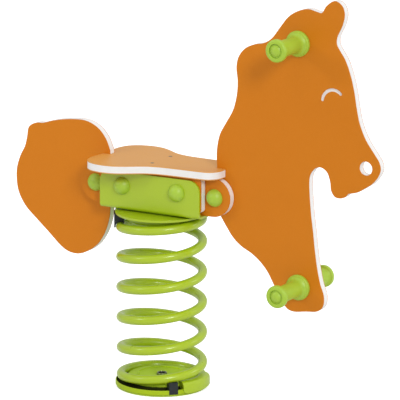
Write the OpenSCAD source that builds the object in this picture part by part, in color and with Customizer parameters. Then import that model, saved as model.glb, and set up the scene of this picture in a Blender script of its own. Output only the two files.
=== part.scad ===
// Horse-shaped spring rider for one child: boards, seat, handles and footrests on one coil spring.
// Millimetres. The origin is the centre of the underside of the ground plate.
// +X is the way the horse faces, +Y is its left side and +Z is up.

/* [Boards] */
// Thickness of every sandwich board
board_t = 19; // [15:1:20]
// Height of the seat's underside above the ground
seat_z = 490; // [480:5:500]
// Diameter of the hole through the nose
nose_hole_d = 30; // [20:2:36]
// Depth of the eye groove on each face
eye_depth = 4; // [3:0.5:5]

/* [Spring] */
// Mean diameter of the coil
coil_mean_d = 180; // [178:1:182]
// Diameter of the spring wire
wire_d = 20; // [18:1:20]
// Rise of one working turn
coil_pitch = 68.5; // [64:0.5:72]
// Height of the spring seats apart, wire contact to wire contact
spring_height = 383; // [375:1:385]

/* [Steel bracket] */
// Length of the bracket along the horse
bracket_len = 252; // [240:2:256]
// Thickness of the bracket plate
bracket_t = 5; // [4:0.5:6]

/* [Grips] */
// Distance from the horse's middle plane to the outer end of a grip
grip_reach = 110; // [100:1:120]
// Diameter of the round part that is held or stood on
grip_d = 36; // [30:1:36]
// Distance of the hand grips in front of the spring axis
hand_x = 344; // [340:1:350]
// Height of the hand grips
hand_z = 801; // [790:1:804]
// Distance of the footrests in front of the spring axis
foot_x = 348; // [342:1:352]
// Height of the footrests
foot_z = 270; // [264:1:276]

/* [Ground fixing] */
// Diameter of the hole for the anchor bolt
anchor_hole_d = 17; // [14:1:18]

/* [Hidden] */

$fn = 72;
eps = 0.01;

// Board stack, counted from the middle plane outwards
panel_y = board_t / 2;
long_rail_y = panel_y + board_t;
cheek_y = long_rail_y + board_t;
bracket_y = cheek_y + bracket_t;

// Heights of the base, spring and bracket
ground_t = 4;
spring_z0 = 8;
spring_z1 = spring_z0 + spring_height;
mirror_z = spring_z0 + spring_z1;
seat_rim_z = 14.5;
paint_gap = 0.05;
bracket_z = mirror_z + paint_gap;
bracket_floor = bracket_z + bracket_t;
rail_z0 = bracket_floor + paint_gap;
rail_z1 = seat_z;
cheek_top = seat_z - 6;
cheek_corner_r = 26;
packing_t = 3;
packing_size = [96, 72];
short_rail_z0 = rail_z0 + 8;
bend_r = 9;

// Coil: a flat end, a lead-in and even turns, the same at both ends, measured in degrees of turning;
// the wire is divided at the two cuts
coil_r = coil_mean_d / 2;
wire_r = wire_d / 2;
wire_z0 = spring_z0 + wire_r;
wire_z1 = spring_z1 - wire_r;
coil_start = -30;
dead_deg = 18.5;
lead_deg = 440;
climb_deg = (wire_z1 - wire_z0) / coil_pitch * 360;
coil_deg = dead_deg + climb_deg + lead_deg + dead_deg;
coil_cut_1 = 927.5;
coil_cut_2 = 1484.5;
wire_sides = 16;
step_deg = 10;

// Spring seats
seat_r = 102.5;
seat_rim_r = coil_r + wire_r + 0.3;
ground_r = 101.5;
hub_r = coil_r - wire_r - 1.5;
hub_boss_r = 36;
hub_top = 26;
hub_edge_r = 6;
hub_web_t = 6;
hub_lip_r = 52;
hub_lip_w = 2;
hub_dish_r = 18;
hub_dish_depth = 3.5;
collar_r = 11.5;
collar_h = 2.5;
screw_circle_r = 24;
screw_count = 4;
screw_d = 8;
screw_head_d = 16;
screw_head_h = 4;
screw_len = 18;
block_angle = 14.5;
block_w = 19.5;
block_r0 = coil_r - 8;
block_r1 = coil_r + wire_r + 3.5;
block_z0 = ground_t + 1.5;
lower_block_hug = 2;
upper_block_hug = 11;
groove_gap = 0.6;
clamp_from = -2;
clamp_to = 58;
clamp_wall = 2.1;
clamp_r = coil_r + wire_r + 6;
clamp_z0 = 5;
clamp_corner_r = 10;
clamp_gap = 0.8;
clamp_lip = 6.5;
channel_gap = 0.4;

// Fasteners
bolt_d = 10;
hole_d = 11;
hex_af = 17;
hex_h = 5;
washer_t = 1.5;
washer_d = 30;
cap_d = 39;
cap_h = 16;
cap_rim = 2;
cap_wall = 1.8;
bolt_proud = 1.5;
bracket_bolt_x = 69;
bracket_bolt_z = 453;
rail_bolt_x = 151;
rail_bolt_z = (rail_z0 + rail_z1) / 2;
seat_screw_x = 0;
seat_screw_d = 5;
seat_screw_head_d = 9;
seat_screw_len = 38;

// Grips, measured outwards from the panel face
grip_len = grip_reach - panel_y;
grip_r = grip_d / 2;
flange_r = 28;
flange_fillet = 14;
knob_r = 24.5;
knob_len = 13;
knob_fillet = 7;
pocket_r = 15;
pocket_depth = 17;
plug_gap = 0.4;
plug_t = 5;
plug_rise = 4;
plug_groove_w = 2.4;
plug_groove_depth = 2;
rod_len = 2 * (grip_reach - pocket_depth + hex_h + 2);

// Board outlines seen from the side, as [x, z]
panel_rear_x = 148;
tongue_x = 110;
tail_front_x = -126;
slot_gap = 0.5;
slot_len = 60;
board_gap = 1;
curve_steps = 4;
head_curve = [
    [panel_rear_x, seat_z], [145, 520], [145, 550], [152, 583], [167, 610], [185, 641],
    [194, 675], [196, 706], [193, 734], [198, 758], [214, 778], [237, 789], [260, 794],
    [280, 807], [298, 830], [319, 856], [343, 871], [367, 877], [387, 873], [400, 872],
    [410, 887], [429, 900], [447, 892], [454, 873], [449, 849], [437, 824], [436, 808],
    [444, 794], [457, 775], [469, 745], [478, 711], [484, 677], [492, 643], [507, 610],
    [526, 584], [539, 566], [543, 549], [536, 532], [523, 517], [507, 506], [491, 496],
    [479, 492], [467, 489], [459, 481], [447, 477], [434, 479], [425, 492], [423, 509],
    [417, 527], [408, 536], [397, 539], [385, 534], [375, 521], [372, 505], [373, 475],
    [377, 431], [382, 395], [386, 360], [392, 320], [400, 284], [409, 259], [408, 236],
    [394, 222], [366, 218], [336, 214], [317, 221], [302, 244], [286, 269], [272, 293],
    [253, 314], [231, 330], [207, 342], [187, 358], [170, 380], [154, rail_z0]
];
tail_curve = [
    [tail_front_x, 516], [-138, 543], [-159, 565], [-190, 577], [-230, 576], [-270, 569],
    [-300, 560], [-320, 558], [-338, 547], [-343, 524], [-349, 502], [-361, 480],
    [-370, 454], [-372, 428], [-367, 397], [-349, 366], [-320, 340], [-288, 313],
    [-258, 287], [-236, 275], [-210, 273], [-184, 283], [-159, 302], [-140, 331],
    [-129, 364], [tail_front_x, 395]
];
nose_at = [508, 549];
eye_at = [428, 684];
eye_r = 25.5;
eye_w = 7;
eye_from = 46;
eye_to = 175;

// Seat outline seen from above: one half, from the tail forwards
seat_half = [
    [-143, 0], [-144, 26], [-146, 54], [-139, 82], [-122, 99], [-99, 107], [-76, 108],
    [-54, 103], [-31, 90], [-1, 71], [29, 62], [64, 59], [100, 58], [134, 57]
];
seat_front_x = 167;
seat_front_y = 57;
seat_corner_r = 32;

orange = [0.86, 0.46, 0.10];
green = [0.64, 0.80, 0.16];
rubber = [0.12, 0.14, 0.15];
steel = [0.72, 0.73, 0.75];

// Integral of a smooth step: 0 before the step, u - 1/2 after it
function eased(u) = u <= 0 ? 0 : u >= 1 ? u - 0.5 : pow(u, 3) - pow(u, 4) / 2;

// Height of the wire centre after turning by t degrees from the lower wire end
function coil_z(t) = wire_z0 + coil_pitch / 360 * lead_deg
    * (eased((t - dead_deg) / lead_deg) - eased((t - dead_deg - climb_deg) / lead_deg));

// Slope angle of the wire at t
function coil_slope(t) = atan((coil_z(t + 1) - coil_z(t - 1)) / (2 * PI / 180) / coil_r);

// One ring of points round the wire, square to its run
function wire_ring(t) = [
    for (k = [0 : wire_sides - 1])
        let (a = coil_start + t, s = coil_slope(t), q = 360 * k / wire_sides)
        let (out = coil_r + wire_r * cos(q), up = wire_r * sin(q))
        [
            out * cos(a) + up * sin(s) * sin(a),
            out * sin(a) - up * sin(s) * cos(a),
            coil_z(t) + up * cos(s)
        ]
];

// Points on a circular arc, ends included
function arc(centre, r, from, to, n) = [
    for (i = [0 : n]) centre + r * [cos(from + (to - from) * i / n), sin(from + (to - from) * i / n)]
];

// Outline of a rectangle with corner radii r1 below and r2 above
function round_rect(x0, y0, x1, y1, r1, r2) = concat(
    arc([x1 - r1, y0 + r1], r1, -90, 0, 6),
    arc([x1 - r2, y1 - r2], r2, 0, 90, 6),
    arc([x0 + r2, y1 - r2], r2, 90, 180, 6),
    arc([x0 + r1, y0 + r1], r1, 180, 270, 6)
);

// Radius of a dome of the given half width and rise
function dome_radius(half, rise) = (half * half + rise * rise) / (2 * rise);

// Smooth curve through four neighbouring points, between b and c
function between(a, b, c, d, u) = 0.5 * (2 * b + (c - a) * u
    + (2 * a - 5 * b + 4 * c - d) * u * u + (3 * b - a - 3 * c + d) * u * u * u);

// Smooth open curve through points p
function curve(p) = [
    for (i = [0 : len(p) - 2]) for (k = [0 : curve_steps - (i == len(p) - 2 ? 0 : 1)])
        between(p[max(i - 1, 0)], p[i], p[i + 1], p[min(i + 2, len(p) - 1)], k / curve_steps)
];

// Stands a side-view outline up as a board between y0 and y1
module board(outline, y0, y1) {
    translate([0, y1, 0])
        rotate([90, 0, 0])
            linear_extrude(y1 - y0)
                polygon(outline);
}

// Round hole along Y through every board
module cross_hole(x, z, d) {
    translate([x, grip_reach, z])
        rotate([90, 0, 0])
            cylinder(d = d, h = 2 * grip_reach);
}

// Repeats its child at x and -x
module both_ends(x) {
    for (side = [-1, 1])
        translate([side * x, 0, 0])
            children();
}

// Turns its child to point outwards from y on the left (1) or right (-1) side
module outwards(side, y, z) {
    translate([0, side * y, z])
        rotate([-90 * side, 0, 0])
            children();
}

// Puts a piece of the base upside down under the bracket
module at_top() {
    translate([0, 0, mirror_z])
        mirror([0, 0, 1])
            children();
}

// Places its child at every clamping screw
module at_screws() {
    for (i = [0 : screw_count - 1])
        rotate(45 + i * 360 / screw_count)
            translate([screw_circle_r, 0, 0])
                children();
}

// Countersunk screw with its head at the bottom
module countersunk_screw(len) {
    cylinder(d1 = screw_head_d, d2 = screw_d, h = screw_head_h);
    translate([0, 0, screw_head_h - eps])
        cylinder(d = screw_d, h = len - screw_head_h + eps);
}

// Centre hole and screw holes through a plate that reaches no higher than the rim
module plate_holes() {
    translate([0, 0, -1])
        cylinder(d = anchor_hole_d, h = seat_rim_z + 2);
    at_screws()
        translate([0, 0, -1])
            cylinder(d = screw_d, h = seat_rim_z + 2);
}

// Cast hub that centres the coil: hollow rim, boss for the screws, and a shallow dish on top
// between a raised lip and the collar of the bolt hole
module spring_hub() {
    bore_r = anchor_hole_d / 2;
    skirt_r = hub_r - hub_web_t;
    difference() {
        rotate_extrude()
            polygon(concat(
                [[bore_r, spring_z0], [hub_boss_r, spring_z0], [hub_boss_r, hub_top - hub_web_t - 1],
                 [skirt_r, hub_top - hub_web_t - 2], [skirt_r, spring_z0], [hub_r, spring_z0]],
                arc([hub_r - hub_edge_r, hub_top - hub_edge_r - 2], hub_edge_r, 0, 80, 5),
                arc([hub_lip_r, hub_top], hub_lip_w, 0, 180, 6),
                [[hub_dish_r, hub_top - hub_dish_depth], [collar_r, hub_top - hub_dish_depth],
                 [collar_r, hub_top + collar_h - 1], [collar_r - 1, hub_top + collar_h],
                 [bore_r + 1, hub_top + collar_h], [bore_r, hub_top + collar_h - 1]]
            ));
        at_screws()
            translate([0, 0, spring_z0 - eps])
                cylinder(d = screw_d, h = screw_len - spring_z0 + 1);
    }
}

// Rubber block between the seat and the wire above it, just before the wire end; hug is how far
// it reaches up beside the wire
module spacer_block(hug) {
    t = 360 - block_angle;
    difference() {
        block_room(block_r1, coil_z(t) - wire_r + hug);
        rotate(coil_start - block_angle)
            translate([coil_r, 0, coil_z(t)])
                rotate([90 + coil_slope(t), 0, 0])
                    cylinder(r = wire_r + groove_gap, h = 3 * block_w, center = true);
    }
}

// The space the block takes, out to the radius r and up to z
module block_room(r, z) {
    rotate(coil_start - block_angle)
        translate([block_r0, -block_w / 2, block_z0])
            cube([r - block_r0, block_w, z - block_z0]);
}

// Clamp hooked over the end of the wire and round the rim of the seat; its inner lip ends on the
// wire's shoulder, clear of the hub
module end_clamp() {
    inner_r = hub_r + clamp_gap;
    top = wire_z0 + wire_r + channel_gap + clamp_wall;
    rotate(coil_start + clamp_from)
        difference() {
            rotate_extrude(angle = clamp_to - clamp_from)
                difference() {
                    polygon([
                        [coil_r, top - clamp_lip], [inner_r, top - clamp_lip], [inner_r + 3, top - 2.5],
                        [inner_r + 8, top], [coil_r + 5, top], [coil_r + 11, top - 2],
                        [clamp_r - 1, top - 6.5], [clamp_r, top - 11.5], [clamp_r, clamp_z0],
                        [seat_r + clamp_gap, clamp_z0], [seat_r + clamp_gap, seat_rim_z],
                        [coil_r, seat_rim_z]
                    ]);
                    translate([coil_r, wire_z0])
                        circle(wire_r + channel_gap);
                }
            clamp_corner();
        }
}

// Waste outside the rounded lower corner of a clamp's skirt
module clamp_corner() {
    translate([seat_r - 1, 0, clamp_z0])
        difference() {
            translate([0, -1, -1])
                cube([clamp_corner_r, clamp_corner_r + 1, clamp_corner_r + 1]);
            translate([-1, clamp_corner_r, clamp_corner_r])
                rotate([0, 90, 0])
                    cylinder(r = clamp_corner_r, h = clamp_corner_r + 2);
        }
}

// Stretch of the coil between two turning angles
module coil(from, to) {
    n = ceil((to - from) / step_deg);
    rings = [for (i = [0 : n]) each wire_ring(from + (to - from) * i / n)];
    walls = [
        for (i = [0 : n - 1]) for (k = [0 : wire_sides - 1])
            let (m = (k + 1) % wire_sides, a = i * wire_sides, b = a + wire_sides)
            each [[a + k, b + k, b + m], [a + k, b + m, a + m]]
    ];
    first = [for (k = [0 : wire_sides - 1]) k];
    last = [for (k = [0 : wire_sides - 1]) n * wire_sides + wire_sides - 1 - k];
    polyhedron(rings, concat(walls, [first, last]), convexity = 6);
}

// Hex head or nut with its flat on the XY plane
module hex(bore) {
    difference() {
        cylinder(d = hex_af / cos(30), h = hex_h, $fn = 6);
        if (bore > 0)
            translate([0, 0, -eps])
                cylinder(d = bore, h = hex_h + 2 * eps);
    }
}

// Bolt from right to left through boards that reach y on both sides, head on the right
module cross_bolt(y, z) {
    outwards(-1, y + washer_t, z)
        hex(0);
    outwards(1, -y - washer_t, z)
        cylinder(d = bolt_d, h = 2 * (y + washer_t) + hex_h + bolt_proud);
}

// Flat washer that carries the cap
module cap_washer() {
    difference() {
        cylinder(d = washer_d, h = washer_t);
        translate([0, 0, -eps])
            cylinder(d = hole_d, h = washer_t + 2 * eps);
    }
}

// Hollow dome snapped over a bolt head or nut
module dome_cap() {
    rise = cap_h - cap_rim;
    dome_r = dome_radius(cap_d / 2, rise);
    inner_r = dome_r - cap_wall;
    skirt_r = cap_d / 2 - 2;
    half = asin(cap_d / 2 / dome_r);
    inner_half = asin(skirt_r / inner_r);
    rotate_extrude()
        polygon(concat(
            [[skirt_r, 0], [cap_d / 2, 0]],
            arc([0, cap_h - dome_r], dome_r, 90 - half, 90, 8),
            arc([0, cap_h - dome_r], inner_r, 90, 90 - inner_half, 8)
        ));
}

// Moulded grip, drawn from the panel face outwards along Z
module grip() {
    knob = grip_len - knob_len;
    rotate_extrude()
        polygon(concat(
            [[hole_d / 2, 0], [flange_r, 0], [flange_r, 4]],
            arc([flange_r - 3, 4], 3, 0, 70, 4),
            arc([grip_r + flange_fillet, flange_fillet + 8], flange_fillet, 236, 180, 6),
            arc([grip_r + knob_fillet, knob - knob_fillet + 1], knob_fillet, 180, 112, 5),
            arc([knob_r - 3, knob + 3], 3, -60, 0, 4),
            arc([knob_r - 5, grip_len - 5], 5, 0, 75, 4),
            [[pocket_r + 1, grip_len], [pocket_r, grip_len - 1], [pocket_r, grip_len - pocket_depth],
             [hole_d / 2, grip_len - pocket_depth]]
        ));
}

// Plug that closes the pocket at the end of a grip: a flange with a domed crown, and a groove
// round the crown
module end_plug() {
    r = pocket_r - plug_gap;
    crown_r = r - plug_groove_w;
    dome = dome_radius(crown_r - 1, plug_rise);
    translate([0, 0, grip_len - plug_t - 1])
        rotate_extrude()
            polygon(concat(
                [[0, 0], [r, 0], [r, plug_t - plug_groove_depth],
                 [crown_r, plug_t - plug_groove_depth], [crown_r, plug_t - 1]],
                arc([0, plug_t + plug_rise - dome], dome, acos((crown_r - 1) / dome), 90, 6)
            ));
}

// A left and a right piece at each grip height
module at_grips() {
    for (at = [[hand_x, hand_z], [foot_x, foot_z]], side = [-1, 1])
        translate([at[0], 0, 0])
            outwards(side, panel_y, at[1])
                children();
}

module long_rail(side) {
    r = (rail_z1 - rail_z0) / 2;
    difference() {
        board(
            concat(
                arc([rail_bolt_x - 5, rail_bolt_z], r, -90, 90, 16),
                arc([5 - rail_bolt_x, rail_bolt_z], r, 90, 270, 16)
            ),
            side > 0 ? panel_y : -long_rail_y,
            side > 0 ? long_rail_y : -panel_y
        );
        both_ends(rail_bolt_x)
            cross_hole(0, rail_bolt_z, hole_d);
        both_ends(bracket_bolt_x)
            cross_hole(0, bracket_bolt_z, hole_d);
    }
}

module short_rail(side) {
    half = bracket_len / 2 + 2;
    difference() {
        board(
            round_rect(-half, short_rail_z0, half, rail_z1, 10, 10),
            side > 0 ? long_rail_y : -cheek_y,
            side > 0 ? cheek_y : -long_rail_y
        );
        both_ends(bracket_bolt_x)
            cross_hole(0, bracket_bolt_z, hole_d);
        translate([seat_screw_x, side * (long_rail_y + board_t / 2), seat_z + board_t - seat_screw_len])
            cylinder(d = seat_screw_d, h = seat_screw_len);
    }
}

// Base

module ground_plate() {
    color(green)
        difference() {
            cylinder(d1 = 2 * ground_r - 2, d2 = 2 * ground_r, h = ground_t);
            translate([0, 0, -eps])
                cylinder(d = anchor_hole_d, h = ground_t + 2 * eps);
            at_screws()
                countersunk_screw(screw_len);
        }
}

// Plate with a chamfered edge and a rim round the wire, cut away at the spacer block
module lower_spring_seat() {
    color(green)
        difference() {
            rotate_extrude()
                polygon([
                    [0, ground_t], [ground_r, ground_t], [seat_r, ground_t + 0.8],
                    [seat_r, seat_rim_z - 1], [seat_r - 1, seat_rim_z], [seat_rim_r, seat_rim_z],
                    [seat_rim_r, spring_z0], [0, spring_z0]
                ]);
            plate_holes();
            block_room(2 * seat_r, 2 * seat_rim_z);
        }
}

module lower_spring_hub() {
    color(green)
        spring_hub();
}

module lower_hub_screws() {
    color(steel)
        at_screws()
            countersunk_screw(screw_len);
}

module lower_end_clamp() {
    color(green)
        end_clamp();
}

module lower_spacer_block() {
    color(rubber)
        spacer_block(lower_block_hug);
}

// Coil spring, one wire in three stretches

module coil_spring_lower() {
    color(green)
        coil(0, coil_cut_1);
}

module coil_spring_middle() {
    color(green)
        coil(coil_cut_1, coil_cut_2);
}

module coil_spring_upper() {
    color(green)
        coil(coil_cut_2, coil_deg);
}

// Top of the spring: the base pieces turned over, so the wire leaves them the same way round

module turned_over() {
    rotate(2 * coil_start + coil_deg)
        at_top()
            mirror([0, 1, 0])
                children();
}

module upper_spring_seat() {
    color(green)
        turned_over()
            difference() {
                translate([0, 0, packing_t])
                    cylinder(r1 = seat_r - 0.5, r2 = seat_r - 1.5, h = spring_z0 - packing_t);
                plate_holes();
                block_room(2 * seat_r, 2 * spring_z0);
            }
}

module upper_spring_hub() {
    color(green)
        turned_over()
            spring_hub();
}

module upper_hub_screws() {
    color(steel)
        turned_over()
            translate([0, 0, mirror_z - bracket_floor])
                at_screws()
                    countersunk_screw(screw_len + bracket_floor - mirror_z);
}

module upper_end_clamp() {
    color(green)
        turned_over()
            end_clamp();
}

module upper_spacer_block() {
    color(rubber)
        turned_over()
            spacer_block(upper_block_hug);
}

// Smaller plate that keeps the bracket clear of the spring seat
module upper_packing_plate() {
    color(green)
        difference() {
            translate([-packing_size[0] / 2, -packing_size[1] / 2, mirror_z - packing_t + paint_gap])
                cube([packing_size[0], packing_size[1], packing_t - paint_gap]);
            turned_over()
                plate_holes();
        }
}

// U-shaped plate that holds the boards between its cheeks
module saddle_bracket() {
    half = bracket_len / 2;
    inner_r = bend_r - bracket_t;
    inner = cheek_y - inner_r;
    color(green)
        difference() {
            intersection() {
                rotate([90, 0, 90])
                    translate([0, 0, -half])
                        linear_extrude(bracket_len)
                            polygon(concat(
                                [[bracket_y, cheek_top], [cheek_y, cheek_top]],
                                arc([inner, bracket_floor + inner_r], inner_r, 0, -90, 5),
                                arc([-inner, bracket_floor + inner_r], inner_r, 270, 180, 5),
                                [[-cheek_y, cheek_top], [-bracket_y, cheek_top]],
                                arc([bend_r - bracket_y, bracket_z + bend_r], bend_r, 180, 270, 8),
                                arc([bracket_y - bend_r, bracket_z + bend_r], bend_r, 270, 360, 8)
                            ));
                board(
                    round_rect(-half, bracket_z - 1, half, cheek_top, 3, cheek_corner_r),
                    -bracket_y - 1,
                    bracket_y + 1
                );
            }
            both_ends(bracket_bolt_x)
                cross_hole(0, bracket_bolt_z, hole_d);
            turned_over()
                translate([0, 0, mirror_z - bracket_floor])
                    at_screws()
                        countersunk_screw(screw_len);
        }
}

// Boards

module centre_rail() {
    color(orange)
        difference() {
            board(
                [[tail_front_x + board_gap, rail_z0], [tongue_x - board_gap, rail_z0],
                 [tongue_x - board_gap, rail_z1], [tail_front_x + board_gap, rail_z1]],
                -panel_y, panel_y
            );
            both_ends(bracket_bolt_x)
                cross_hole(0, bracket_bolt_z, hole_d);
        }
}

module right_long_rail() {
    color(orange)
        long_rail(-1);
}

module left_long_rail() {
    color(orange)
        long_rail(1);
}

module right_short_rail() {
    color(orange)
        short_rail(-1);
}

module left_short_rail() {
    color(orange)
        short_rail(1);
}

module seat_board() {
    side = concat(
        curve(seat_half),
        arc([seat_front_x - seat_corner_r, seat_front_y - seat_corner_r], seat_corner_r, 84, 0, 8)
    );
    other = [for (i = [len(side) - 1 : -1 : 1]) [side[i][0], -side[i][1]]];
    slot = panel_y + slot_gap;
    color(orange)
        difference() {
            translate([0, 0, seat_z])
                linear_extrude(board_t)
                    polygon(concat(side, other));
            translate([panel_rear_x - 4, -slot, seat_z - 1])
                cube([slot_len, 2 * slot, board_t + 2]);
            translate([tail_front_x + slot_gap - slot_len, -slot, seat_z - 1])
                cube([slot_len, 2 * slot, board_t + 2]);
            seat_screw_pair();
        }
}

// The two countersunk screws that hold the seat down on the short rails
module seat_screw_pair() {
    for (side = [-1, 1])
        translate([seat_screw_x, side * (long_rail_y + board_t / 2), seat_z + board_t - seat_screw_len]) {
            cylinder(d = seat_screw_d, h = seat_screw_len - 2);
            translate([0, 0, seat_screw_len - 3])
                cylinder(d1 = seat_screw_d, d2 = seat_screw_head_d, h = 3);
        }
}

module seat_screws() {
    color(steel)
        seat_screw_pair();
}

// Curved groove of the closed eye, as a side-view outline
function eye_outline() = concat(
    arc(eye_at, eye_r + eye_w / 2, eye_from, eye_to, 16),
    arc(eye_at + eye_r * [cos(eye_to), sin(eye_to)], eye_w / 2, eye_to, eye_to + 180, 6),
    arc(eye_at, eye_r - eye_w / 2, eye_to, eye_from, 16),
    arc(eye_at + eye_r * [cos(eye_from), sin(eye_from)], eye_w / 2, eye_from + 180, eye_from + 360, 6)
);

// Front panel: chest, leg, neck and head, with a tongue between the long rails
module head_panel() {
    color(orange)
        difference() {
            board(
                concat(curve(head_curve), [[tongue_x, rail_z0], [tongue_x, rail_z1]]),
                -panel_y, panel_y
            );
            cross_hole(nose_at[0], nose_at[1], nose_hole_d);
            cross_hole(hand_x, hand_z, hole_d);
            cross_hole(foot_x, foot_z, hole_d);
            cross_hole(rail_bolt_x, rail_bolt_z, hole_d);
            for (y = [-panel_y - 1, panel_y - eye_depth])
                board(eye_outline(), y, y + eye_depth + 1);
        }
}

module tail_panel() {
    color(orange)
        difference() {
            board(curve(tail_curve), -panel_y, panel_y);
            cross_hole(-rail_bolt_x, rail_bolt_z, hole_d);
        }
}

// Bolts through the boards

module bracket_bolts() {
    color(steel)
        both_ends(bracket_bolt_x)
            cross_bolt(bracket_y, bracket_bolt_z);
}

module bracket_bolt_nuts() {
    color(steel)
        both_ends(bracket_bolt_x)
            outwards(1, bracket_y + washer_t, bracket_bolt_z)
                hex(bolt_d);
}

module bracket_bolt_washers() {
    color(steel)
        for (side = [-1, 1])
            both_ends(bracket_bolt_x)
                outwards(side, bracket_y, bracket_bolt_z)
                    cap_washer();
}

module bracket_bolt_caps() {
    color(green)
        for (side = [-1, 1])
            both_ends(bracket_bolt_x)
                outwards(side, bracket_y, bracket_bolt_z)
                    dome_cap();
}

module rail_bolts() {
    color(steel)
        both_ends(rail_bolt_x)
            cross_bolt(long_rail_y, rail_bolt_z);
}

module rail_bolt_nuts() {
    color(steel)
        both_ends(rail_bolt_x)
            outwards(1, long_rail_y + washer_t, rail_bolt_z)
                hex(bolt_d);
}

module rail_bolt_washers() {
    color(steel)
        for (side = [-1, 1])
            both_ends(rail_bolt_x)
                outwards(side, long_rail_y, rail_bolt_z)
                    cap_washer();
}

module rail_bolt_caps() {
    color(green)
        for (side = [-1, 1])
            both_ends(rail_bolt_x)
                outwards(side, long_rail_y, rail_bolt_z)
                    dome_cap();
}

// Grips

module right_hand_grip() {
    color(green)
        translate([hand_x, 0, 0])
            outwards(-1, panel_y, hand_z)
                grip();
}

module left_hand_grip() {
    color(green)
        translate([hand_x, 0, 0])
            outwards(1, panel_y, hand_z)
                grip();
}

module right_footrest() {
    color(green)
        translate([foot_x, 0, 0])
            outwards(-1, panel_y, foot_z)
                grip();
}

module left_footrest() {
    color(green)
        translate([foot_x, 0, 0])
            outwards(1, panel_y, foot_z)
                grip();
}

// Threaded rod through a pair of grips
module grip_rod(x, z) {
    color(steel)
        translate([x, rod_len / 2, z])
            rotate([90, 0, 0])
                cylinder(d = bolt_d, h = rod_len);
}

module hand_grip_rod() {
    grip_rod(hand_x, hand_z);
}

module footrest_rod() {
    grip_rod(foot_x, foot_z);
}

module rod_nuts() {
    color(steel)
        at_grips()
            translate([0, 0, grip_len - pocket_depth])
                hex(bolt_d);
}

module grip_end_plugs() {
    color(green)
        at_grips()
            end_plug();
}

ground_plate();
lower_spring_seat();
lower_spring_hub();
lower_hub_screws();
lower_end_clamp();
lower_spacer_block();
coil_spring_lower();
coil_spring_middle();
coil_spring_upper();
upper_spring_seat();
upper_spring_hub();
upper_hub_screws();
upper_end_clamp();
upper_spacer_block();
upper_packing_plate();
saddle_bracket();
centre_rail();
right_long_rail();
left_long_rail();
right_short_rail();
left_short_rail();
seat_board();
seat_screws();
head_panel();
tail_panel();
bracket_bolts();
bracket_bolt_nuts();
bracket_bolt_washers();
bracket_bolt_caps();
rail_bolts();
rail_bolt_nuts();
rail_bolt_washers();
rail_bolt_caps();
right_hand_grip();
left_hand_grip();
right_footrest();
left_footrest();
hand_grip_rod();
footrest_rod();
rod_nuts();
grip_end_plugs();
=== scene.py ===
import math

import bpy
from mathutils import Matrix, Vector


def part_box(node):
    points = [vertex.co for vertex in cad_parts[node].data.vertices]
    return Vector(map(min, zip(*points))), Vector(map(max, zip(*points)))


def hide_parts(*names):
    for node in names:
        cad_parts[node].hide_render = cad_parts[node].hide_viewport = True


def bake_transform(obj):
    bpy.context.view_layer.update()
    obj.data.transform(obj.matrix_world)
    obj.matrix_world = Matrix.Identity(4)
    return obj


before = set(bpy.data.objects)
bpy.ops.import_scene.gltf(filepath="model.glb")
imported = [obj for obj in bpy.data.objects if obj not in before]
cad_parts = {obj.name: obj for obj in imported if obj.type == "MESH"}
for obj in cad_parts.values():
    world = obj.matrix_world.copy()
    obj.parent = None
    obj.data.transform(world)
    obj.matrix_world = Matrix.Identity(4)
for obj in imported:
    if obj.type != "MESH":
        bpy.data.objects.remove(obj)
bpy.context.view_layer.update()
scene = bpy.context.scene

MM = 0.001

# Half thickness of a sandwich board, depth of its coloured skins and blur of the line between them
BOARD_HALF = 9.5 * MM
SKIN = 2.1 * MM
SKIN_BLUR = 0.12 * MM
BOARD_BEVEL = 2.6 * MM

# Base of the spring: the groove under the wire is painted dark as shade, and the collar in the hub is bare
# steel.
# The seat has no collar: its steel radius lies well inside the anchor hole, where there is no surface.
GROOVE_R0 = 70 * MM
GROOVE_R1 = 102 * MM
# Heights up to which the groove under the wire is painted dark as shade
SEAT_SHADE_TOP = 14.2 * MM
HUB_SHADE_TOP = 17 * MM
COLLAR_R = 11.7 * MM
NO_COLLAR_R = 1 * MM

# Coil spring: the wire's helix with a flat end turn at each end, angles in degrees of turning
COIL_R = 90 * MM
WIRE_R = 10 * MM
COIL_START = -30
COIL_DEAD = 18.5
COIL_LEAD = 440
COIL_PITCH = 68.5 * MM
WIRE_Z0 = 18 * MM
WIRE_Z1 = 381 * MM
COIL_CLIMB = (WIRE_Z1 - WIRE_Z0) / COIL_PITCH * 360
COIL_END = 2 * COIL_DEAD + COIL_CLIMB + COIL_LEAD
WIRE_SIDES = 28
WIRE_CHAMFER = 0.8 * MM
RING_STEP = 4.0

# Where the wire is divided, in degrees of turning, between the heights listed for its pieces
CUT_1 = 927.5
CUT_2 = 1484.5
CUT_3 = 1730.5


# ---------------------------------------------------------------- node helpers

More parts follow.
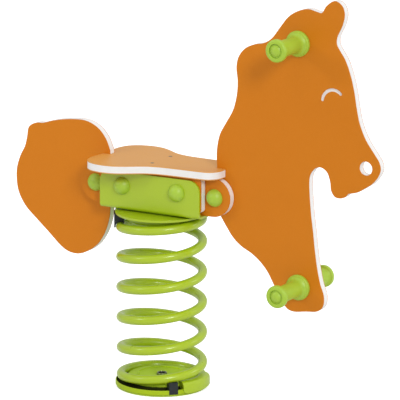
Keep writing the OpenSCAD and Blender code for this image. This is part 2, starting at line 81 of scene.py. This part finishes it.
class Nodes:
    """Short way to build one material's node tree."""

    def __init__(self, name):
        self.material = bpy.data.materials.new(name)
        self.material.use_nodes = True
        self.tree = self.material.node_tree
        self.tree.nodes.clear()
        self.out = self.tree.nodes.new("ShaderNodeOutputMaterial")
        self.coord = self.tree.nodes.new("ShaderNodeTexCoord").outputs["Object"]

    def add(self, kind, **inputs):
        node = self.tree.nodes.new(kind)
        for key, value in inputs.items():
            self.put(node.inputs[key.replace("_", " ")], value)
        return node

    def put(self, socket, value):
        if isinstance(value, bpy.types.NodeSocket):
            self.tree.links.new(value, socket)
        else:
            socket.default_value = value

    def math(self, operation, a, b=0.0):
        node = self.tree.nodes.new("ShaderNodeMath")
        node.operation = operation
        self.put(node.inputs[0], a)
        self.put(node.inputs[1], b)
        return node.outputs[0]

    def noise(self, scale, detail=2.0, rough=0.5, vector=None):
        node = self.add("ShaderNodeTexNoise", Scale=scale, Detail=detail, Roughness=rough)
        self.put(node.inputs["Vector"], vector or self.coord)
        return node.outputs["Fac"]

    def stretched(self, x, y, z):
        node = self.add("ShaderNodeMapping", Vector=self.coord, Scale=(x, y, z))
        return node.outputs["Vector"]

    def ramp(self, value, low, high, to_low=0.0, to_high=1.0):
        node = self.add("ShaderNodeMapRange", Value=value)
        for key, number in (("From Min", low), ("From Max", high), ("To Min", to_low), ("To Max", to_high)):
            self.put(node.inputs[key], number)
        node.clamp = True
        return node.outputs["Result"]

    def mix(self, factor, a, b):
        node = self.tree.nodes.new("ShaderNodeMix")
        node.data_type = "RGBA"
        self.put(node.inputs[0], factor)
        self.put(node.inputs[6], a)
        self.put(node.inputs[7], b)
        return node.outputs[2]

    def bump(self, height, distance, strength=1.0):
        node = self.add("ShaderNodeBump", Height=height, Distance=distance, Strength=strength)
        return node.outputs["Normal"]

    def finish(self, **inputs):
        shader = self.add("ShaderNodeBsdfPrincipled", **inputs)
        self.tree.links.new(shader.outputs[0], self.out.inputs["Surface"])
        return self.material


def srgb(r, g, b):
    """Linear colour from display values between 0 and 255."""
    def linear(v):
        v = v / 255
        return v / 12.92 if v <= 0.04045 else ((v + 0.055) / 1.055) ** 2.4
    return (linear(r), linear(g), linear(b), 1.0)


# ---------------------------------------------------------------- materials

def board_material(name, axis, centre, gloss, deep, pale):
    """Sandwich board: pebbled orange skins over a milled white core, split along the board's thickness."""
    n = Nodes(name)
    across = n.add("ShaderNodeSeparateXYZ", Vector=n.coord).outputs[axis]
    depth = n.math("ABSOLUTE", n.math("SUBTRACT", across, centre))
    wander = n.math("MULTIPLY", n.math("SUBTRACT", n.noise(160.0, 3.0), 0.5), 0.5 * MM)
    edge = BOARD_HALF - SKIN
    skin = n.ramp(n.math("ADD", depth, wander), edge - SKIN_BLUR, edge + SKIN_BLUR)

    orange = n.mix(n.noise(7.0, 4.0, 0.55), deep, pale)
    speck = n.ramp(n.noise(900.0, 2.0), 0.42, 0.72)
    orange = n.mix(n.math("MULTIPLY", speck, 0.1), orange, srgb(232, 160, 60))
    core = n.mix(n.noise(60.0, 3.0), srgb(231, 229, 227), srgb(241, 239, 236))

    along, cross = 30.0, 900.0
    milled = n.noise(1.0, 2.0, 0.5, n.stretched(*(along if i == axis else cross for i in range(3))))
    pebbles = n.math("MULTIPLY", n.noise(1150.0, 3.0, 0.6), skin)
    cuts = n.math("MULTIPLY", n.math("MULTIPLY", milled, 0.6), n.math("SUBTRACT", 1.0, skin))
    return n.finish(Base_Color=n.mix(skin, core, orange),
                    Roughness=n.ramp(n.noise(24.0, 3.0), 0.3, 0.7, 0.41, 0.45),
                    Normal=n.bump(n.math("ADD", pebbles, cuts), 0.25 * MM, 0.8),
                    IOR=1.5, Specular_IOR_Level=gloss)


def paint_material(name, rough, peel, peel_scale):
    """Powder coat: even colour with slight orange peel and tiny dust grains."""
    n = Nodes(name)
    grain = n.ramp(n.noise(1400.0, 1.0), 0.66, 0.74)
    colour = n.mix(n.noise(11.0, 3.0, 0.5), GREEN_DARK, GREEN_LIGHT)
    colour = n.mix(n.math("MULTIPLY", grain, 0.25), colour, srgb(214, 232, 120))
    height = n.math("ADD", n.noise(peel_scale, 2.0, 0.45), n.math("MULTIPLY", grain, 0.12))
    roughness = n.ramp(n.noise(30.0, 3.0), 0.3, 0.7, rough - 0.03, rough + 0.05)
    return n.finish(Base_Color=colour, Roughness=roughness, Normal=n.bump(height, peel), IOR=1.52,
                    Coat_Weight=0.35, Coat_Roughness=0.16)


def base_material(name, dark, light, shade_top, steel_r):
    """Dull powder coat: painted shade in the groove under the wire, bare steel inside steel_r."""
    n = Nodes(name)
    x, y, z = n.add("ShaderNodeSeparateXYZ", Vector=n.coord).outputs
    flat = n.math("SQRT", n.math("ADD", n.math("POWER", x, 2.0), n.math("POWER", y, 2.0)))
    ragged = n.math("MULTIPLY", n.math("SUBTRACT", n.noise(120.0, 4.0, 0.6), 0.5), 2.0 * MM)
    # Painted shade: low down in the groove between GROOVE_R0 and GROOVE_R1, near-black, rougher and less
    # glossy
    low = n.ramp(n.math("ADD", z, ragged), shade_top - 2 * MM, shade_top, 1.0, 0.0)
    outside = n.ramp(flat, GROOVE_R0, GROOVE_R0 + 0.4 * MM)
    inside = n.ramp(flat, GROOVE_R1, GROOVE_R1 + 0.2 * MM, 1.0, 0.0)
    groove_shade = n.math("MULTIPLY", n.math("MULTIPLY", low, outside), inside)
    steel = n.ramp(flat, steel_r, steel_r + 0.2 * MM, 1.0, 0.0)

    shade_colour = n.mix(n.noise(200.0, 4.0), srgb(38, 44, 12), srgb(62, 66, 30))
    bare = n.mix(n.noise(300.0, 3.0), srgb(120, 124, 104), srgb(176, 178, 164))
    colour = n.mix(groove_shade, n.mix(n.noise(11.0, 3.0, 0.5), dark, light), shade_colour)
    rough = n.math("SUBTRACT", n.ramp(groove_shade, 0.0, 1.0, 0.5, 0.9), n.math("MULTIPLY", steel, 0.25))
    return n.finish(Base_Color=n.mix(steel, colour, bare), Roughness=rough,
                    Normal=n.bump(n.noise(420.0, 2.0, 0.45), 0.18 * MM), Metallic=steel, IOR=1.5,
                    Specular_IOR_Level=n.ramp(groove_shade, 0.0, 1.0, 0.3, 0.05))


def plastic_material():
    """Moulded plastic: fine spark-eroded grain, slightly cloudy colour, light passing a little way in."""
    n = Nodes("green_plastic")
    return n.finish(Base_Color=n.mix(n.noise(18.0, 3.0), srgb(160, 192, 50), srgb(170, 202, 62)),
                    Roughness=n.ramp(n.noise(40.0, 2.0), 0.3, 0.7, 0.34, 0.44),
                    Normal=n.bump(n.noise(1600.0, 2.0, 0.6), 0.08 * MM), IOR=1.5,
                    Subsurface_Weight=0.12, Subsurface_Radius=(0.004, 0.004, 0.0012), Subsurface_Scale=1.0)


def rubber_material():
    """Black rubber with a little pale dust."""
    n = Nodes("black_rubber")
    dust = n.ramp(n.noise(90.0, 5.0, 0.6), 0.5, 0.8)
    return n.finish(Base_Color=n.mix(n.math("MULTIPLY", dust, 0.3), srgb(20, 28, 31), srgb(44, 52, 56)),
                    Roughness=n.ramp(dust, 0.0, 1.0, 0.5, 0.75), Normal=n.bump(n.noise(700.0, 3.0), 0.2 * MM))


def zinc_material(name, dark, light):
    """Zinc plating with a fine spangle."""
    n = Nodes(name)
    spangle = n.noise(240.0, 4.0, 0.7)
    return n.finish(Base_Color=n.mix(spangle, dark, light), Metallic=1.0,
                    Roughness=n.ramp(spangle, 0.3, 0.7, 0.24, 0.42),
                    Normal=n.bump(n.noise(900.0, 2.0), 0.05 * MM))


PANEL_DEEP = srgb(203, 116, 10)
PANEL_PALE = srgb(210, 122, 15)
# The seat is the same orange board as the panels; its paler colours are a painted sheen of the white studio
# at grazing angles
SEAT_SHEEN_DEEP = srgb(213, 150, 68)
SEAT_SHEEN_PALE = srgb(220, 157, 76)
GREEN_DARK = srgb(164, 189, 12)
GREEN_LIGHT = srgb(172, 197, 20)
# The hub has the same green paint as the other steel; these lighter, more saturated colours are painted light
# on the hub inside the bottom turn
HUB_LIT_DARK = srgb(176, 206, 18)
HUB_LIT_LIGHT = srgb(184, 213, 26)
powder_coat = paint_material("green_powder_coat", 0.36, 0.18 * MM, 420.0)
wire_coat = paint_material("green_wire_coat", 0.3, 0.16 * MM, 300.0)
seat_coat = base_material("green_seat_coat", GREEN_DARK, GREEN_LIGHT, SEAT_SHADE_TOP, NO_COLLAR_R)
hub_coat = base_material("green_hub_coat", HUB_LIT_DARK, HUB_LIT_LIGHT, HUB_SHADE_TOP, COLLAR_R)
plastic = plastic_material()
rubber = rubber_material()
zinc = zinc_material("zinc_plated", srgb(150, 154, 160), srgb(206, 209, 212))
dull_zinc = zinc_material("dull_zinc", srgb(96, 88, 72), srgb(140, 130, 108))


# ---------------------------------------------------------------- CAD nodes

def dress(node, material, bevel, segments=2):
    """Gives a CAD node its finish: welded, flats merged, hard edges rounded, curves shaded smooth."""
    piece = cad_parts[node]
    mesh = piece.data
    mesh.materials.clear()
    mesh.materials.append(material)
    for name in ("custom_normal", "sharp_edge", "sharp_face"):
        if name in mesh.attributes:
            mesh.attributes.remove(mesh.attributes[name])
    for polygon in mesh.polygons:
        polygon.use_smooth = True
        polygon.material_index = 0
    weld = piece.modifiers.new("weld", "WELD")
    weld.merge_threshold = 0.002 * MM
    merge = piece.modifiers.new("merge flats", "DECIMATE")
    merge.decimate_type = "DISSOLVE"
    merge.angle_limit = math.radians(0.4)
    round_edges = piece.modifiers.new("round edges", "BEVEL")
    round_edges.width = bevel
    round_edges.segments = segments
    round_edges.limit_method = "ANGLE"
    round_edges.angle_limit = math.radians(28)
    round_edges.harden_normals = True
    round_edges.use_clamp_overlap = True
    round_edges.miter_outer = "MITER_ARC"


def dress_board(node, axis, gloss, deep, pale):
    """Dresses a board whose thickness runs along axis."""
    lo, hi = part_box(node)
    material = board_material("board_" + node, axis, (lo[axis] + hi[axis]) / 2, gloss, deep, pale)
    dress(node, material, BOARD_BEVEL, 4)


BOARDS_ON_EDGE = ["centre_rail", "right_long_rail", "left_long_rail", "right_short_rail", "left_short_rail",
                  "head_panel", "tail_panel"]
for node in BOARDS_ON_EDGE:
    dress_board(node, 1, 0.2, PANEL_DEEP, PANEL_PALE)
dress_board("seat_board", 2, 0.5, SEAT_SHEEN_DEEP, SEAT_SHEEN_PALE)

# Painted steel, with each node's edge radius in millimetres
PAINTED = {
    "ground_plate": 0.5, "lower_end_clamp": 1.2, "upper_spring_seat": 0.7, "upper_spring_hub": 0.6,
    "upper_end_clamp": 1.2, "upper_packing_plate": 0.7, "saddle_bracket": 0.9,
}
for node, edge_mm in PAINTED.items():
    dress(node, powder_coat, edge_mm * MM, 3)
dress("lower_spring_seat", seat_coat, 0.7 * MM, 3)
dress("lower_spring_hub", hub_coat, 0.6 * MM, 3)

for node in ("lower_spacer_block", "upper_spacer_block"):
    dress(node, rubber, 1.0 * MM, 3)

MOULDED = ["bracket_bolt_caps", "rail_bolt_caps", "right_hand_grip", "left_hand_grip", "right_footrest",
           "left_footrest", "grip_end_plugs"]
for node in MOULDED:
    dress(node, plastic, 0.4 * MM)

FASTENERS = ["lower_hub_screws", "upper_hub_screws", "bracket_bolts", "bracket_bolt_nuts",
             "bracket_bolt_washers", "rail_bolts", "rail_bolt_nuts", "rail_bolt_washers", "hand_grip_rod",
             "footrest_rod", "rod_nuts"]
for node in FASTENERS:
    dress(node, zinc, 0.25 * MM)
dress("seat_screws", dull_zinc, 0.25 * MM)


# ---------------------------------------------------------------- coil spring

def eased(u):
    """Integral of a smooth step: 0 before the step, u - 1/2 after it."""
    if u <= 0:
        return 0.0
    return u - 0.5 if u >= 1 else u ** 3 - u ** 4 / 2


def wire_z(t):
    """Height of the wire's centre after turning t degrees from its lower end."""
    rise = COIL_PITCH / 360 * COIL_LEAD
    climbing = eased((t - COIL_DEAD) / COIL_LEAD)
    levelling = eased((t - COIL_DEAD - COIL_CLIMB) / COIL_LEAD)
    return WIRE_Z0 + rise * (climbing - levelling)


def wire_ring(t, radius):
    """Points round the wire at t, square to its run."""
    a = math.radians(COIL_START + t)
    slope = math.atan2(wire_z(t + 1) - wire_z(t - 1), math.radians(2) * COIL_R)
    ring = []
    for k in range(WIRE_SIDES):
        q = 2 * math.pi * k / WIRE_SIDES
        out, up = COIL_R + radius * math.cos(q), radius * math.sin(q)
        ring.append((out * math.cos(a) + up * math.sin(slope) * math.sin(a),
                     out * math.sin(a) - up * math.sin(slope) * math.cos(a),
                     wire_z(t) + up * math.cos(slope)))
    return ring


def wire_stations(start, end):
    """Places and radii of the rings from start to end; the wire's own two ends are chamfered."""
    inset = math.degrees(WIRE_CHAMFER / COIL_R)
    first = start + inset if start == 0 else start
    last = end - inset if end == COIL_END else end
    count = math.ceil((last - first) / RING_STEP)
    stations = [(first + (last - first) * i / count, WIRE_R) for i in range(count + 1)]
    if start == 0:
        stations.insert(0, (start, WIRE_R - WIRE_CHAMFER))
    if end == COIL_END:
        stations.append((end, WIRE_R - WIRE_CHAMFER))
    return stations


def wire_piece(name, start, end):
    """Smooth tube along the coil from start to end, with sharp edges only at its ends."""
    stations = wire_stations(start, end)
    rings = [wire_ring(t, radius) for t, radius in stations]
    faces = []
    for i in range(len(rings) - 1):
        for k in range(WIRE_SIDES):
            m = (k + 1) % WIRE_SIDES
            a = i * WIRE_SIDES
            b = a + WIRE_SIDES
            faces.append((a + k, a + m, b + m, b + k))
    base = (len(rings) - 1) * WIRE_SIDES
    faces.append(tuple(range(WIRE_SIDES - 1, -1, -1)))
    faces.append(tuple(base + k for k in range(WIRE_SIDES)))
    mesh = bpy.data.meshes.new(name)
    mesh.from_pydata([point for ring in rings for point in ring], [], faces)
    mesh.update()
    for polygon in mesh.polygons:
        polygon.use_smooth = True
    sharp = {0, len(rings) - 1}
    if start == 0:
        sharp.add(1)
    if end == COIL_END:
        sharp.add(len(rings) - 2)
    for edge in mesh.edges:
        rows = {v // WIRE_SIDES for v in edge.vertices}
        if len(rows) == 1 and rows <= sharp:
            edge.use_edge_sharp = True
    mesh.materials.append(wire_coat)
    piece = bpy.data.objects.new(name, mesh)
    scene.collection.objects.link(piece)
    return piece


# Name, turning from and to, bodies below and above, low and high heights in millimetres, CAD node it stands
# for
WIRES = [
    ("spring_wire_bottom", 0, CUT_1, "base", "spring_lower", 36, 139, "coil_spring_lower"),
    ("spring_wire_middle", CUT_1, CUT_2, "spring_lower", "spring_middle", 160, 244, "coil_spring_middle"),
    ("spring_wire_twist", CUT_2, CUT_3, "spring_middle", "spring_upper", 266, 291, "coil_spring_upper"),
    ("spring_wire_top", CUT_3, COIL_END, "spring_upper", "rider", 313, 371, "coil_spring_upper"),
]
for name, start, end, below, above, low_mm, high_mm, node in WIRES:
    wire = wire_piece(name, start, end)
    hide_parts(node)
    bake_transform(wire)


# ---------------------------------------------------------------- stage, light, camera

LOOK_AT = Vector((0.0975, 0.0, 0.4302))


def at_angle(azimuth, elevation, distance):
    """Place round LOOK_AT from which azimuth 0 looks along +Y and azimuth 90 looks along -X."""
    a, e = math.radians(azimuth), math.radians(elevation)
    return LOOK_AT + distance * Vector((math.sin(a) * math.cos(e), -math.cos(a) * math.cos(e), math.sin(e)))


def place(name, data, azimuth, elevation, distance):
    """Puts a light or a camera at these angles, aimed at LOOK_AT."""
    thing = bpy.data.objects.new(name, data)
    thing.location = at_angle(azimuth, elevation, distance)
    thing.rotation_mode = "QUATERNION"
    thing.rotation_quaternion = (LOOK_AT - thing.location).to_track_quat("-Z", "Y")
    scene.collection.objects.link(thing)
    return thing


def area_light(name, azimuth, elevation, distance, size, power):
    data = bpy.data.lights.new(name, "AREA")
    data.shape = "DISK"
    data.size = size
    data.energy = power
    place(name, data, azimuth, elevation, distance)


def sun_light(name, azimuth, elevation, angle, power):
    data = bpy.data.lights.new(name, "SUN")
    data.angle = math.radians(angle)
    data.energy = power
    place(name, data, azimuth, elevation, 3.0)


def make_floor():
    """Pale floor that reads as pure white to the camera."""
    half = 40.0
    corners = [(-half, -half, 0), (half, -half, 0), (half, half, 0), (-half, half, 0)]
    mesh = bpy.data.meshes.new("floor")
    mesh.from_pydata(corners, [], [(0, 1, 2, 3)])
    n = Nodes("pale_floor")
    seen = n.add("ShaderNodeLightPath").outputs["Is Camera Ray"]
    mesh.materials.append(n.finish(
        Base_Color=n.mix(n.noise(3.0, 3.0), srgb(226, 226, 226), srgb(232, 232, 232)), Roughness=0.9,
        Specular_IOR_Level=0.1, Emission_Color=(1.0, 1.0, 1.0, 1.0),
        Emission_Strength=n.math("MULTIPLY", seen, 0.6)))
    floor = bpy.data.objects.new("floor", mesh)
    scene.collection.objects.link(floor)


def make_world():
    """White studio, a little brighter overhead."""
    world = bpy.data.worlds.new("studio")
    world.use_nodes = True
    tree = world.node_tree
    background = tree.nodes["Background"]
    background.inputs["Color"].default_value = (1.0, 1.0, 1.0, 1.0)
    direction = tree.nodes.new("ShaderNodeTexCoord")
    split = tree.nodes.new("ShaderNodeSeparateXYZ")
    ramp = tree.nodes.new("ShaderNodeMapRange")
    tree.links.new(direction.outputs["Generated"], split.inputs["Vector"])
    tree.links.new(split.outputs["Z"], ramp.inputs["Value"])
    for key, number in (("From Min", 0.0), ("From Max", 1.0), ("To Min", 0.42), ("To Max", 1.0)):
        ramp.inputs[key].default_value = number
    tree.links.new(ramp.outputs["Result"], background.inputs["Strength"])
    scene.world = world


def make_camera():
    """Long lens, well back, so that the view is nearly flat."""
    data = bpy.data.cameras.new("camera")
    data.sensor_width = 36.0
    data.lens = 331.8
    data.clip_end = 200.0
    scene.camera = place("camera", data, 30.5, 13.3, 8.0)


make_floor()
make_world()
sun_light("key", 48.5, 28, 14, 1.1)
area_light("fill", -40, 28, 3.4, 0.5, 12)
area_light("rim", 118, 14, 3.0, 0.8, 9)
make_camera()
scene.view_settings.view_transform = "Standard"
